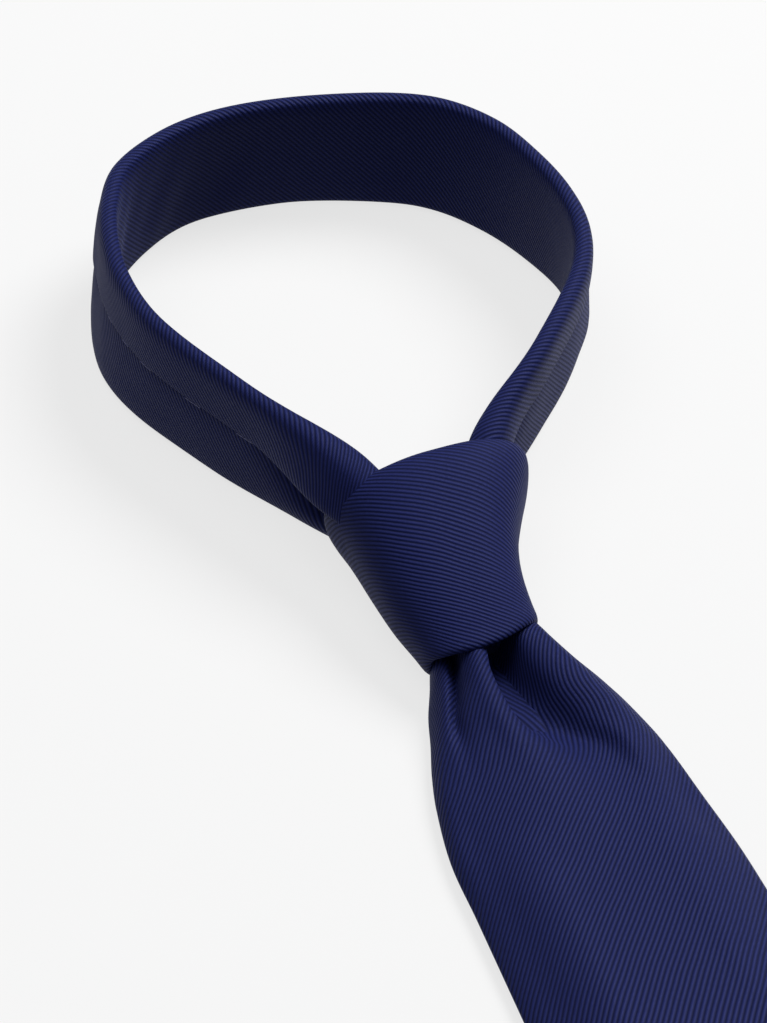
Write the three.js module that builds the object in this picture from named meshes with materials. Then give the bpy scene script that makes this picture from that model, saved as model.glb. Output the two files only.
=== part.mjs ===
/*
 * A gentleman's silk necktie, tied in a four-in-hand and laid face up: the knot rests on the table, the neck
 * loop stands on its edge behind it like a collar, and the two ends run forward, the narrow one underneath.
 *
 * Millimetres, +Z up. +Y runs from the point of the wide end towards the neck loop. The pieces are laid out
 * from the mouth of the knot (x = 0, y = 0, table z = 0) and the finished group is then moved so that its
 * origin is the middle of its bounding box, on the table.
 *
 * Bodies: the neck loop; the knot, which slides along its two legs; the wide blade, which lifts about the lip
 * of the knot; and the tail, which feeds through the knot and the keeper loop.
 */
import * as THREE from 'three';

// ---- Cloth and layers --------------------------------------------------------------------------------------
const CLOTH = 0.5;            // silk twill, one layer
const INTERLINING = 1.2;      // woven wool interlining
const TIPPING = 0.3;          // lining cloth inside the two points
const GAP = 0.3;              // clearance between neighbouring layers
const SEAM_LAP = 6;           // overlap of the two folded edges on the centre back
const HEM = 12;               // cloth turned to the back along the pointed edges
const THREAD = 0.3;           // slip-stitch thread
const ROLL_STEPS = 4;         // facets round a rolled edge

// ---- Wide end (blade) --------------------------------------------------------------------------------------
const BLADE_LENGTH = 460;     // mouth of the knot to the point
const BLADE_WIDTH = 80;       // across the corners of the point
const BLADE_TAPER = 0.066;    // width lost per mm towards the knot
const BLADE_SEAM_END = 100;   // from the point up to the bar tack
const BLADE_TIPPING_LENGTH = 130;

// ---- Narrow end (tail) -------------------------------------------------------------------------------------
const TAIL_LENGTH = 380;
const TAIL_WIDTH = 42;
const TAIL_TAPER = 0.03;
const TAIL_SEAM_END = 62;
const TAIL_TIPPING_LENGTH = 80;
const TAIL_TOP_RUN = 45;      // part of the tail that stays by the knot

// ---- Keeper loop on the back of the blade ------------------------------------------------------------------
const KEEPER_STANDOFF = 210;  // from the blade's point
const KEEPER_HEIGHT = 14;     // measured along the tie
const KEEPER_CLOTH = 0.8;     // two layers of silk, pressed
const KEEPER_CLEARANCE = 2.5; // each side of the tail

// ---- Knot --------------------------------------------------------------------------------------------------
const KNOT_LENGTH = 43;
const KNOT_TOP_WIDTH = 44;
const KNOT_MOUTH_WIDTH = 27;
const KNOT_TOP_DEPTH = 33;
const KNOT_MOUTH_DEPTH = 17;
const KNOT_WRAP = 3;          // the lined strip where it wraps round the knot
const KNOT_ROUNDNESS = 2.6;   // superellipse exponent of the section
const KNOT_OPEN_ANGLE = 62;   // degrees below the middle where the front wrap ends
const PASS_WIDTH = 15;        // the strip where it is gathered inside the knot
const PASS_FULL_DEPTH = 3.4;
const BUNDLE_CHAMFER = 0.8;   // share of a bundle's half depth taken off at each corner
const TOP_TURN_DROP = 7;      // the turn over the top sits this far below the edge of the front wrap
const TOP_TURN_REACH = 8;     // and this far behind it
const UNDER_TURN_DEPTH = 2.5;
const FIRST_CROSS_DEPTH = 5;
const FLARE_LENGTH = 3;       // each end opens out sharply at the mouth of the knot,
const SPREAD_LENGTH = 22;     // then spreads slowly below it
const FLARE_SHARE = 0.45;
const SETTLE_LENGTH = 45;     // how far from the mouth the ends reach the table

// ---- Neck loop ---------------------------------------------------------------------------------------------
const NECK_RADIUS = 53.5;     // to the middle of the band
const NECK_CENTRE = new THREE.Vector2(9, 112);
const NECK_BAND = 31;         // width of the tie round the neck
const NECK_LEFT_ANGLE = 185;  // degrees: where the back of the loop meets the left leg
const NECK_RIGHT_ANGLE = -8;  // and the right leg
const LEG_ENTRY = new THREE.Vector2(12.5, 41);
const LEG_ENTRY_DEPTH = 5;    // how far from its end each leg is fully gathered
const LEG_GATHER_LENGTH = 24;
const LEFT_LEG_HEADING = 114; // degrees from +X, looking from the knot towards the neck
const RIGHT_LEG_HEADING = 52;
const LEFT_LEG_EASE = [26, 10];
const RIGHT_LEG_EASE = [28, 16];

// ---- Derived thicknesses -----------------------------------------------------------------------------------
const BAND_CAVITY = GAP + INTERLINING + GAP;
const END_CAVITY = BAND_CAVITY + TIPPING + GAP;
const BAND_DEPTH = 3 * CLOTH + GAP + BAND_CAVITY;
const END_DEPTH = 3 * CLOTH + GAP + END_CAVITY;

/* Both ends leave through the mouth of the knot, one above the other. */
const PASS_DEPTH = Math.min(PASS_FULL_DEPTH, (KNOT_MOUTH_DEPTH - 2 * KNOT_WRAP - 6 * GAP) / 2);

const TAIL_Z = KEEPER_CLOTH + GAP + END_DEPTH / 2;
const BLADE_Z = TAIL_Z + END_DEPTH + GAP;
const TAIL_MOUTH_Z = KNOT_WRAP + 2 * GAP + PASS_DEPTH / 2;
const BLADE_MOUTH_Z = TAIL_MOUTH_Z + PASS_DEPTH / 2 + 2 * GAP + END_DEPTH / 2;

const SILK = 0x262c58;
const SILK_SHADE = 0x1c2146;
const LINING = 0x1a1d3a;
const WOOL = 0xe6e0d2;
const YARN = 0x30376a;

const group = new THREE.Group();
group.name = 'necktie';

function lerp(a, b, t) {
  return a + (b - a) * t;
}

function ease(t) {
  const k = Math.min(Math.max(t, 0), 1);
  return k * k * (3 - 2 * k);
}

function range(count, fn) {
  return Array.from({ length: count }, (_, i) => fn(i, count > 1 ? i / (count - 1) : 0));
}

/* A frame places a section outline: its origin, the direction across the cloth, and the way the face looks. */
function frame(origin, across, face) {
  return { origin, across, face };
}

function flatFrame(y, z) {
  return frame(new THREE.Vector3(0, y, z), new THREE.Vector3(1, 0, 0), new THREE.Vector3(0, 0, 1));
}

/* One closed solid through a run of sections {frame, outline}, with a flat cap at each end. */
function loft(name, colour, sections) {
  const count = sections[0].outline.length;
  const position = [];
  const index = [];
  for (const section of sections) {
    for (const p of section.outline) {
      const v = section.frame.origin.clone();
      v.addScaledVector(section.frame.across, p.x);
      v.addScaledVector(section.frame.face, p.y);
      position.push(v.x, v.y, v.z);
    }
  }
  for (let s = 0; s + 1 < sections.length; s += 1) {
    for (let i = 0; i < count; i += 1) {
      const j = (i + 1) % count;
      const a = s * count + i;
      const b = s * count + j;
      index.push(a, b, b + count);
      index.push(a, b + count, a + count);
    }
  }
  const last = (sections.length - 1) * count;
  for (const [a, b, c] of THREE.ShapeUtils.triangulateShape(sections[0].outline, [])) {
    index.push(c, b, a);
  }
  for (const [a, b, c] of THREE.ShapeUtils.triangulateShape(sections.at(-1).outline, [])) {
    index.push(last + a, last + b, last + c);
  }
  if (signedVolume(position, index) < 0) {
    for (let i = 0; i < index.length; i += 3) {
      [index[i], index[i + 2]] = [index[i + 2], index[i]];
    }
  }
  const geometry = new THREE.BufferGeometry();
  geometry.setAttribute('position', new THREE.Float32BufferAttribute(position, 3));
  geometry.setIndex(index);
  const material = new THREE.MeshStandardMaterial({ color: colour, roughness: 0.6, metalness: 0 });
  material.name = name;
  const mesh = new THREE.Mesh(geometry, material);
  mesh.name = name;
  group.add(mesh);
  return mesh;
}

function signedVolume(position, index) {
  const corner = (i) => new THREE.Vector3().fromArray(position, 3 * i);
  let volume = 0;
  for (let i = 0; i < index.length; i += 3) {
    const a = corner(index[i]);
    volume += a.dot(corner(index[i + 1]).cross(corner(index[i + 2])));
  }
  return volume;
}

/* Half a turn of a rolled edge, from angle a to angle b (degrees) about (cx, cy). */
function roll(cx, cy, radius, a, b) {
  return range(ROLL_STEPS + 1, (i, t) => {
    const angle = THREE.MathUtils.degToRad(lerp(a, b, t));
    return new THREE.Vector2(cx + radius * Math.cos(angle), cy + radius * Math.sin(angle));
  });
}

/*
 * Section of the silk shell: one strip of cloth whose two edges are rolled to the back. The left edge lies
 * under the right one. halfGap is how far each folded edge stops from the centre line; when it is negative
 * the edges overlap. The cavity holds the interlining and, at the points, the tipping.
 */
function envelope(width, halfGap, cavity) {
  const depth = 3 * CLOTH + GAP + cavity;
  const front = depth / 2;
  const over = -depth / 2;
  const under = over + CLOTH + GAP;
  const leftMiddle = (front + under) / 2;
  const leftRadius = (front - under) / 2;
  const rightRadius = (front - over) / 2;
  const left = -width / 2 + leftRadius;
  const right = width / 2 - rightRadius;
  return [
    new THREE.Vector2(-halfGap, under),
    ...roll(left, leftMiddle, leftRadius, 270, 90),
    ...roll(right, 0, rightRadius, 90, -90),
    new THREE.Vector2(halfGap, over),
    new THREE.Vector2(halfGap, over + CLOTH),
    ...roll(right, 0, rightRadius - CLOTH, -90, 90),
    ...roll(left, leftMiddle, leftRadius - CLOTH, 90, 270),
    new THREE.Vector2(-halfGap, under + CLOTH),
  ].reverse();
}

/* A plain rectangular section, given by its middle, its width and its two faces. */
function slab(middle, width, low, high) {
  return [
    new THREE.Vector2(middle - width / 2, low),
    new THREE.Vector2(middle + width / 2, low),
    new THREE.Vector2(middle + width / 2, high),
    new THREE.Vector2(middle - width / 2, high),
  ];
}

/* A soft eight-sided section for a strip gathered inside the knot. */
function bundle(width, depth, middle = 0) {
  const w = width / 2;
  const d = depth / 2;
  const c = d * BUNDLE_CHAMFER;
  const corners = [[-w, -d + c], [-w + c, -d], [w - c, -d], [w, -d + c], [w, d - c], [w - c, d], [-w + c, d], [-w, d - c]];
  return corners.map(([x, y]) => new THREE.Vector2(x, y + middle));
}

// ---- The two ends ------------------------------------------------------------------------------------------
/*
 * An end is described by its length, its width across the corners of the point and its taper. s is the
 * distance back from the point: the edges run out at 45 degrees to the corners and then taper to the knot,
 * where the end is gathered to the width of a pass.
 */
const BLADE = { length: BLADE_LENGTH, width: BLADE_WIDTH, taper: BLADE_TAPER, seamEnd: BLADE_SEAM_END, z: BLADE_Z, mouthZ: BLADE_MOUTH_Z };
const TAIL = { length: TAIL_LENGTH, width: TAIL_WIDTH, taper: TAIL_TAPER, seamEnd: TAIL_SEAM_END, z: TAIL_Z, mouthZ: TAIL_MOUTH_Z };
const BLUNT = END_DEPTH + 1;

function endWidth(end, s) {
  const corner = end.width / 2;
  const full = s < corner ? 2 * s : end.width - end.taper * (s - corner);
  const down = end.length - s;
  const flare = FLARE_SHARE * Math.exp(-down / FLARE_LENGTH);
  const spread = (1 - FLARE_SHARE) * Math.exp(-down / SPREAD_LENGTH);
  return Math.max(full - (full - PASS_WIDTH) * (flare + spread), BLUNT);
}

function endHalfGap(end, s) {
  const corner = end.width / 2;
  if (s >= end.seamEnd) {
    return -SEAM_LAP / 2;
  }
  if (s > corner) {
    return lerp(corner - HEM, -SEAM_LAP / 2, (s - corner) / (end.seamEnd - corner));
  }
  return Math.max(s - HEM, GAP);
}

function endFrame(end, s) {
  const down = end.length - s;
  const z = lerp(end.mouthZ, end.z, ease(down / SETTLE_LENGTH));
  return flatFrame(-down, z);
}

/* Distances from the point at which an end needs a section: close together where it is gathered. */
function endStations(end, from, to) {
  const corner = end.width / 2;
  const marks = [BLUNT / 2, HEM + GAP, corner, end.seamEnd, end.length - 2.5 * SETTLE_LENGTH];
  for (const down of [70, 45, 38, 31, 25, 19, 14, 10, 7, 4, 2]) {
    marks.push(end.length - down);
  }
  return [from, ...marks.filter((s) => s > from + 0.5 && s < to - 0.5), to];
}

function endShell(name, end, from, to, colour = SILK) {
  const sections = endStations(end, from, to).map((s) => ({
    frame: endFrame(end, s),
    outline: envelope(endWidth(end, s), endHalfGap(end, s), END_CAVITY),
  }));
  loft(name, colour, sections);
}

/* A flat layer inside the shell, margin short of its edges, between two heights above the section's middle. */
function endLayer(name, end, from, to, margin, low, high, colour) {
  const sections = endStations(end, from, to).map((s) => ({
    frame: endFrame(end, s),
    outline: slab(0, endWidth(end, s) - 2 * margin, low, high),
  }));
  loft(name, colour, sections);
}

/* The slip stitch runs up the centre back, in the step beside the upper folded edge. */
function endStitch(name, end, from, to) {
  const low = -END_DEPTH / 2 + GAP;
  const beside = -SEAM_LAP / 2 - GAP - THREAD;
  const sections = endStations(end, from, to).map((s) => ({
    frame: endFrame(end, s),
    outline: slab(beside, 2 * THREAD - 0.1, low, low + THREAD - 0.05),
  }));
  loft(name, YARN, sections);
}

/* A short bar of thread between the folded edges, where the centre back seam opens towards the point. */
function barTack(name, end) {
  const corner = end.width / 2;
  const rate = (corner - HEM + SEAM_LAP / 2) / (end.seamEnd - corner);
  const centre = end.seamEnd - (SEAM_LAP / 2 + 2.4) / rate;
  const low = -END_DEPTH / 2 + 0.1;
  const sections = [-1.2, 1.2].map((along) => ({
    frame: endFrame(end, centre + along),
    outline: slab(0, 2, low, low + CLOTH),
  }));
  loft(name, YARN, sections);
}

const INNER_FACE = END_DEPTH / 2 - CLOTH - GAP;
const TIPPING_FACE = INNER_FACE - INTERLINING - GAP;

endShell('blade_shell', BLADE, BLUNT / 2, BLADE.length - GAP);
endLayer('blade_interlining', BLADE, 12, BLADE.length - 3, 3, INNER_FACE - INTERLINING, INNER_FACE, WOOL);
endLayer('blade_tipping', BLADE, 7, BLADE_TIPPING_LENGTH, 3, TIPPING_FACE - TIPPING, TIPPING_FACE, LINING);
endStitch('blade_slip_stitch', BLADE, BLADE.seamEnd + 4, BLADE.length - 60);
barTack('blade_bar_tack', BLADE);

const TAIL_SPLIT = TAIL.length - TAIL_TOP_RUN;
endShell('tail_top_run', TAIL, TAIL_SPLIT + GAP, TAIL.length - GAP, SILK_SHADE);
endShell('tail_shell', TAIL, BLUNT / 2, TAIL_SPLIT, SILK_SHADE);
endLayer('tail_interlining', TAIL, 12, TAIL_SPLIT - 2, 3, INNER_FACE - INTERLINING, INNER_FACE, WOOL);
endLayer('tail_tipping', TAIL, 7, TAIL_TIPPING_LENGTH, 3, TIPPING_FACE - TIPPING, TIPPING_FACE, LINING);
endStitch('tail_slip_stitch', TAIL, TAIL.seamEnd + 4, TAIL_SPLIT - 6);
barTack('tail_bar_tack', TAIL);

/* The keeper loop: a strip across the back of the blade, its ends turned up and sewn to it. */
{
  const y = -BLADE.length + KEEPER_STANDOFF;
  const tailWidth = endWidth(TAIL, TAIL.length + y);
  const inside = tailWidth / 2 + KEEPER_CLEARANCE;
  const outside = inside + KEEPER_CLOTH;
  const foot = outside + 7;
  const top = BLADE.z - END_DEPTH / 2 - GAP;
  const sole = top - KEEPER_CLOTH;
  const outline = [
    [-outside, 0], [outside, 0], [outside, sole], [foot, sole], [foot, top], [inside, top],
    [inside, KEEPER_CLOTH], [-inside, KEEPER_CLOTH], [-inside, top], [-foot, top], [-foot, sole], [-outside, sole],
  ].map(([x, z]) => new THREE.Vector2(x, z));
  const sections = [0, KEEPER_HEIGHT].map((along) => ({ frame: flatFrame(y + along, 0), outline }));
  loft('keeper_loop', SILK_SHADE, sections);
}

// ---- The knot ----------------------------------------------------------------------------------------------
function knotWidth(y) {
  return lerp(KNOT_MOUTH_WIDTH, KNOT_TOP_WIDTH, Math.pow(Math.max(y, 0) / KNOT_LENGTH, 0.9));
}

function knotDepth(y) {
  return lerp(KNOT_MOUTH_DEPTH, KNOT_TOP_DEPTH, ease(0.08 + 0.92 * (y / KNOT_LENGTH)));
}

function superellipse(halfWidth, halfDepth, middle, angle) {
  const c = Math.cos(angle);
  const s = Math.sin(angle);
  const power = 2 / KNOT_ROUNDNESS;
  const x = halfWidth * Math.sign(c) * Math.pow(Math.abs(c), power);
  const z = middle + halfDepth * Math.sign(s) * Math.pow(Math.abs(s), power);
  return new THREE.Vector2(x, z);
}

/* Half the height that is free inside the front wrap, y along the knot and x from its middle. */
function headroomInside(y, x) {
  const reach = Math.min(Math.abs(x) / (knotWidth(y) / 2 - KNOT_WRAP), 1);
  const wall = Math.pow(1 - Math.pow(reach, KNOT_ROUNDNESS), 1 / KNOT_ROUNDNESS);
  return wall * (knotDepth(y) / 2 - KNOT_WRAP) - 2 * GAP;
}

/* Front wrap: crosses the face of the knot and turns round both sides to the back. */
{
  const steps = 20;
  const a = THREE.MathUtils.degToRad(-KNOT_OPEN_ANGLE);
  const b = THREE.MathUtils.degToRad(180 + KNOT_OPEN_ANGLE);
  const sections = range(9, (i, t) => {
    const y = KNOT_LENGTH * t;
    const w = knotWidth(y) / 2;
    const d = knotDepth(y) / 2;
    const outside = range(steps, (k, u) => superellipse(w, d, d, lerp(a, b, u)));
    const inside = range(steps, (k, u) => superellipse(w - KNOT_WRAP, d - KNOT_WRAP, d, lerp(b, a, u)));
    return { frame: flatFrame(y, 0), outline: [...outside, ...inside] };
  });
  loft('knot_front_wrap', SILK, sections);
}

/* Half the width of a flat strip that lies between the two back edges of the front wrap. */
function backHalfWidth(y) {
  const open = Math.pow(Math.cos(THREE.MathUtils.degToRad(KNOT_OPEN_ANGLE)), 2 / KNOT_ROUNDNESS);
  return open * (knotWidth(y) / 2 - KNOT_WRAP) - 2 * GAP;
}

/* Half the width that is free inside the front wrap, y along the knot and z above the table. */
function roomInside(y, z) {
  const halfDepth = knotDepth(y) / 2;
  const reach = Math.min(Math.abs(z - halfDepth) / (halfDepth - KNOT_WRAP), 1);
  const wall = Math.pow(1 - Math.pow(reach, KNOT_ROUNDNESS), 1 / KNOT_ROUNDNESS);
  return Math.max(wall * (knotWidth(y) / 2 - KNOT_WRAP) - 2 * GAP, backHalfWidth(y));
}

/*
 * Riser: the strip behind the knot, up through the neck loop, over the top and down under the front wrap,
 * where it becomes the blade.
 */
{
  const backDepth = KNOT_WRAP - 0.2;
  const underWrap = (y) => knotDepth(y) - KNOT_WRAP - 2 * GAP - PASS_DEPTH / 2;
  const path = [];
  const turnFrom = KNOT_LENGTH - 1;
  for (const y of [0, 6, 12, 20, 26, 31, 36, turnFrom]) {
    const highest = underWrap(y) - TOP_TURN_DROP * ease((y - 20) / (turnFrom - 20));
    const z = Math.min(lerp(BLADE_MOUTH_Z, highest - 2 * GAP, ease(y / 10)), highest - GAP);
    const shoulder = roomInside(y, z + PASS_DEPTH / 2) + BUNDLE_CHAMFER * PASS_DEPTH / 2;
    const half = Math.min(PASS_WIDTH / 2, shoulder, roomInside(y, z + (1 - BUNDLE_CHAMFER) * PASS_DEPTH / 2));
    path.push({ y, z, w: 2 * half, d: PASS_DEPTH });
  }
  const top = path.at(-1).z;
  const middle = (top + backDepth / 2) / 2;
  const radius = (top - backDepth / 2) / 2;
  const turns = 7;
  for (let k = 1; k < turns; k += 1) {
    const angle = THREE.MathUtils.degToRad(90 - (180 * k) / turns);
    const t = k / turns;
    const y = turnFrom + TOP_TURN_REACH * Math.cos(angle);
    path.push({ y, z: middle + radius * Math.sin(angle), w: PASS_WIDTH, d: lerp(PASS_DEPTH, backDepth, t) });
  }
  for (const y of [turnFrom, 38, 30, 22, 14, 7]) {
    path.push({ y, z: backDepth / 2, w: 2 * backHalfWidth(Math.min(y, KNOT_LENGTH)), d: backDepth });
  }
  const sections = path.map((p, i) => {
    const before = path[Math.max(i - 1, 0)];
    const after = path[Math.min(i + 1, path.length - 1)];
    const along = new THREE.Vector3(0, after.y - before.y, after.z - before.z).normalize();
    if (i === 0) {
      along.set(0, 1, 0);
    }
    if (p.y <= turnFrom && p.z < backDepth) {
      along.set(0, -1, 0);
    }
    const across = new THREE.Vector3(1, 0, 0);
    const face = across.clone().cross(along);
    const outline = p.z < backDepth && p.y <= turnFrom ? slab(0, p.w, -p.d / 2, p.d / 2) : bundle(p.w, p.d);
    return { frame: frame(new THREE.Vector3(0, p.y, p.z), across, face), outline };
  });
  for (const section of sections) {
    if (section.outline.length === 4) {
      const [a, b, c, d] = section.outline;
      const mid = (p, q, t) => p.clone().lerp(q, t);
      section.outline = [mid(a, d, 0.2), mid(a, b, 0.05), mid(b, a, 0.05), mid(b, c, 0.2),
        mid(c, b, 0.2), mid(c, d, 0.05), mid(d, c, 0.05), mid(d, a, 0.2)];
    }
  }
  loft('knot_riser', SILK, sections);
}

/* Under turn: the first turn behind the tail, just above the back of the riser. */
{
  const low = KNOT_WRAP + GAP;
  const sections = [12, 20, 28, 39].map((y) => ({
    frame: flatFrame(y, low + UNDER_TURN_DEPTH / 2),
    outline: bundle(2 * roomInside(y, low), UNDER_TURN_DEPTH),
  }));
  loft('knot_under_turn', SILK_SHADE, sections);
}

/* Tail pass: the narrow end goes straight down through the middle of the knot. */
{
  const sections = [0, 5, 10, 15, 22, 30, 38].map((y) => {
    const z = TAIL_MOUTH_Z + ease((y - 3) / 8) * (UNDER_TURN_DEPTH + GAP);
    const width = Math.min(2 * roomInside(y, z - PASS_DEPTH / 2), PASS_WIDTH + 1);
    return { frame: flatFrame(y, z), outline: bundle(width, PASS_DEPTH - GAP) };
  });
  loft('knot_tail_pass', SILK_SHADE, sections);
}

/* First cross: the inner turn over the tail, which the front wrap covers. */
{
  const sections = [17, 24, 31, 38].map((y) => {
    const floor = TAIL_MOUTH_Z + UNDER_TURN_DEPTH + GAP + PASS_DEPTH / 2 + GAP;
    const drop = TOP_TURN_DROP * ease((y - 20) / (KNOT_LENGTH - 21));
    const ceiling = knotDepth(y) - KNOT_WRAP - PASS_DEPTH - 6 * GAP - drop;
    const depth = Math.max(Math.min(ceiling - floor, FIRST_CROSS_DEPTH), 1);
    return { frame: flatFrame(y, floor + depth / 2), outline: bundle(PASS_WIDTH + 1, depth) };
  });
  loft('knot_first_cross', SILK_SHADE, sections);
}

// ---- The neck loop -----------------------------------------------------------------------------------------
function heading(degrees, length) {
  const a = THREE.MathUtils.degToRad(degrees);
  return new THREE.Vector2(length * Math.cos(a), length * Math.sin(a));
}

const LEFT_JOIN = NECK_CENTRE.clone().add(heading(NECK_LEFT_ANGLE, NECK_RADIUS));
const RIGHT_JOIN = NECK_CENTRE.clone().add(heading(NECK_RIGHT_ANGLE, NECK_RADIUS));
const LEG_ENTRY_BAND = 2 * headroomInside(LEG_ENTRY.y, LEG_ENTRY.x + BAND_DEPTH / 2);
const LEFT_ENTRY = new THREE.Vector2(-LEG_ENTRY.x, LEG_ENTRY.y);
const RIGHT_ENTRY = LEG_ENTRY.clone();

const leftLeg = new THREE.CubicBezierCurve(
  LEFT_ENTRY,
  LEFT_ENTRY.clone().add(heading(LEFT_LEG_HEADING, LEFT_LEG_EASE[0])),
  LEFT_JOIN.clone().add(heading(NECK_LEFT_ANGLE + 90, LEFT_LEG_EASE[1])),
  LEFT_JOIN,
);
const neckBack = new THREE.EllipseCurve(
  NECK_CENTRE.x,
  NECK_CENTRE.y,
  NECK_RADIUS,
  NECK_RADIUS,
  THREE.MathUtils.degToRad(NECK_LEFT_ANGLE),
  THREE.MathUtils.degToRad(NECK_RIGHT_ANGLE),
  true,
);
const rightLeg = new THREE.CubicBezierCurve(
  RIGHT_JOIN,
  RIGHT_JOIN.clone().add(heading(NECK_RIGHT_ANGLE - 90, RIGHT_LEG_EASE[1])),
  RIGHT_ENTRY.clone().add(heading(RIGHT_LEG_HEADING, RIGHT_LEG_EASE[0])),
  RIGHT_ENTRY,
);

/* Sections along one run of the band. trim shortens the run so that neighbouring runs keep their clearance. */
function bandSections(curve, count, trim, outlineAt) {
  const length = curve.getLength();
  return range(count, (i, t) => {
    const u = lerp(trim[0] / length, 1 - trim[1] / length, t);
    const p = curve.getPointAt(u);
    const tangent = curve.getTangentAt(u);
    const fromKnot = Math.min(p.distanceTo(LEFT_ENTRY), p.distanceTo(RIGHT_ENTRY));
    const gather = ease((fromKnot - LEG_ENTRY_DEPTH) / LEG_GATHER_LENGTH);
    const width = lerp(LEG_ENTRY_BAND, NECK_BAND, gather);
    const z = lerp(knotDepth(LEG_ENTRY.y) / 2, NECK_BAND / 2, gather);
    const inward = new THREE.Vector3(tangent.y, -tangent.x, 0);
    return {
      frame: frame(new THREE.Vector3(p.x, p.y, z), new THREE.Vector3(0, 0, 1), inward),
      outline: outlineAt(width),
    };
  });
}

/* Each run of the band is a silk shell round its interlining, with the slip-stitched seam on the outside. */
function bandRun(name, curve, count, trim, stitched) {
  const shellAt = (width) => envelope(width, -SEAM_LAP / 2, BAND_CAVITY);
  loft(`${name}_shell`, SILK, bandSections(curve, count, trim, shellAt));
  const high = BAND_DEPTH / 2 - CLOTH - GAP;
  const coreAt = (width) => slab(0, width - 5, high - INTERLINING, high);
  loft(`${name}_interlining`, WOOL, bandSections(curve, count, trim.map((v) => v + 1), coreAt));
  if (stitched) {
    const low = -BAND_DEPTH / 2 + GAP;
    const stitchAt = () => slab(-SEAM_LAP / 2 - GAP - THREAD, 2 * THREAD - 0.1, low, low + THREAD - 0.05);
    loft(`${name}_slip_stitch`, YARN, bandSections(curve, count, trim.map((v) => v + 2), stitchAt));
  }
}

bandRun('left_leg', leftLeg, 13, [0, GAP / 2], true);
bandRun('neck', neckBack, 31, [GAP / 2, GAP / 2], true);
bandRun('right_leg', rightLeg, 13, [GAP / 2, 0], false);

// ---- Origin: middle of the bounding box, on the table ------------------------------------------------------
const box = new THREE.Box3().setFromObject(group);
const shift = new THREE.Vector3(-(box.min.x + box.max.x) / 2, -(box.min.y + box.max.y) / 2, -box.min.z);
for (const mesh of group.children) {
  mesh.geometry.translate(shift.x, shift.y, shift.z);
}

export default group;
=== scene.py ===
import math

import bmesh
import bpy
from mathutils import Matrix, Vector, noise


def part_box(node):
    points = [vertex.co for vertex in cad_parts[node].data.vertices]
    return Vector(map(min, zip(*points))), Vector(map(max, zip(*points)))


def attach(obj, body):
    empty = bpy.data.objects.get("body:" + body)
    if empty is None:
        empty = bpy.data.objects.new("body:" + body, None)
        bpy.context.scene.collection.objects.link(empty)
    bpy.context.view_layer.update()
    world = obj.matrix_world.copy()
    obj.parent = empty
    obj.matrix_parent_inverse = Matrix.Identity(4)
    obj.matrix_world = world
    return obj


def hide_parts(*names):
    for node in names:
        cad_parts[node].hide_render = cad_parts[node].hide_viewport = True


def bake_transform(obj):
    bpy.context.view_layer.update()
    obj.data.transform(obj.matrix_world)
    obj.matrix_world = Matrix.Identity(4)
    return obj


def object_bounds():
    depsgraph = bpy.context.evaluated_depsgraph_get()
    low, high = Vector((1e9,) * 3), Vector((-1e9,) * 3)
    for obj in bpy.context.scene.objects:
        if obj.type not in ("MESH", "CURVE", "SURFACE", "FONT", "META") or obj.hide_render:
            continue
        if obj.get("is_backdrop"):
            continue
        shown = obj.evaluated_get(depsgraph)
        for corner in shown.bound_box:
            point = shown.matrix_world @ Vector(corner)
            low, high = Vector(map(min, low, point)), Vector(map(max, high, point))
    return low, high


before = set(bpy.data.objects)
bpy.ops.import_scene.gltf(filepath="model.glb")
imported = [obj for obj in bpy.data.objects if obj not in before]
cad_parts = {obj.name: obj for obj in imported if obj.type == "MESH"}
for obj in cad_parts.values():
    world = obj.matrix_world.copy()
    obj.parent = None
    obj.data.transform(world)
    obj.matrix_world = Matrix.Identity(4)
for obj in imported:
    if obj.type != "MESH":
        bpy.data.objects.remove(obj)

cad_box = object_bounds()


# ---- Neck loop -----------------------------------------------------------------------------------
# The band round the neck: a bias-cut strip of silk twill folded to a flat tube about 31 mm wide. Its plain
# face looks inwards, and outside its upper edge is turned in and lapped over the lower one. It stands on
# its edge, and both legs are squeezed into the top of the knot.

MM = 0.001
knot_low, knot_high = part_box("knot_front_wrap")
MOUTH = Vector(((knot_low.x + knot_high.x) / 2, knot_low.y, 0))
SILK_LAYER = 0.5


def at(x, y, z):
    """A place in millimetres from the middle of the knot's mouth, on the table."""
    return MOUTH + Vector((x, y, z)) * MM


def ease(t):
    """Nought to one with a soft start and end."""
    t = min(max(t, 0.0), 1.0)
    return t * t * (3 - 2 * t)


def mix(a, b, t):
    return a + (b - a) * t


def smooth_line(points, steps):
    """A smooth line through given points, with the same number of steps to each stretch."""
    points = [Vector(p) for p in points]
    points = [points[0] * 2 - points[1], *points, points[-1] * 2 - points[-2]]
    line = []
    for a, b, c, d in zip(points, points[1:], points[2:], points[3:]):
        t1 = (b - a).length ** 0.5
        t2 = t1 + (c - b).length ** 0.5
        t3 = t2 + (d - c).length ** 0.5
        for k in range(steps):
            t = mix(t1, t2, k / steps)
            p = a * ((t1 - t) / t1) + b * (t / t1)
            q = b * ((t2 - t) / (t2 - t1)) + c * ((t - t1) / (t2 - t1))
            r = c * ((t3 - t) / (t3 - t2)) + d * ((t - t2) / (t3 - t2))
            u = p * ((t2 - t) / t2) + q * (t / t2)
            v = q * ((t3 - t) / (t3 - t1)) + r * ((t - t1) / (t3 - t1))
            line.append(u * ((t2 - t) / (t2 - t1)) + v * ((t - t1) / (t2 - t1)))
    line.append(points[-2])
    return line


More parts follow.
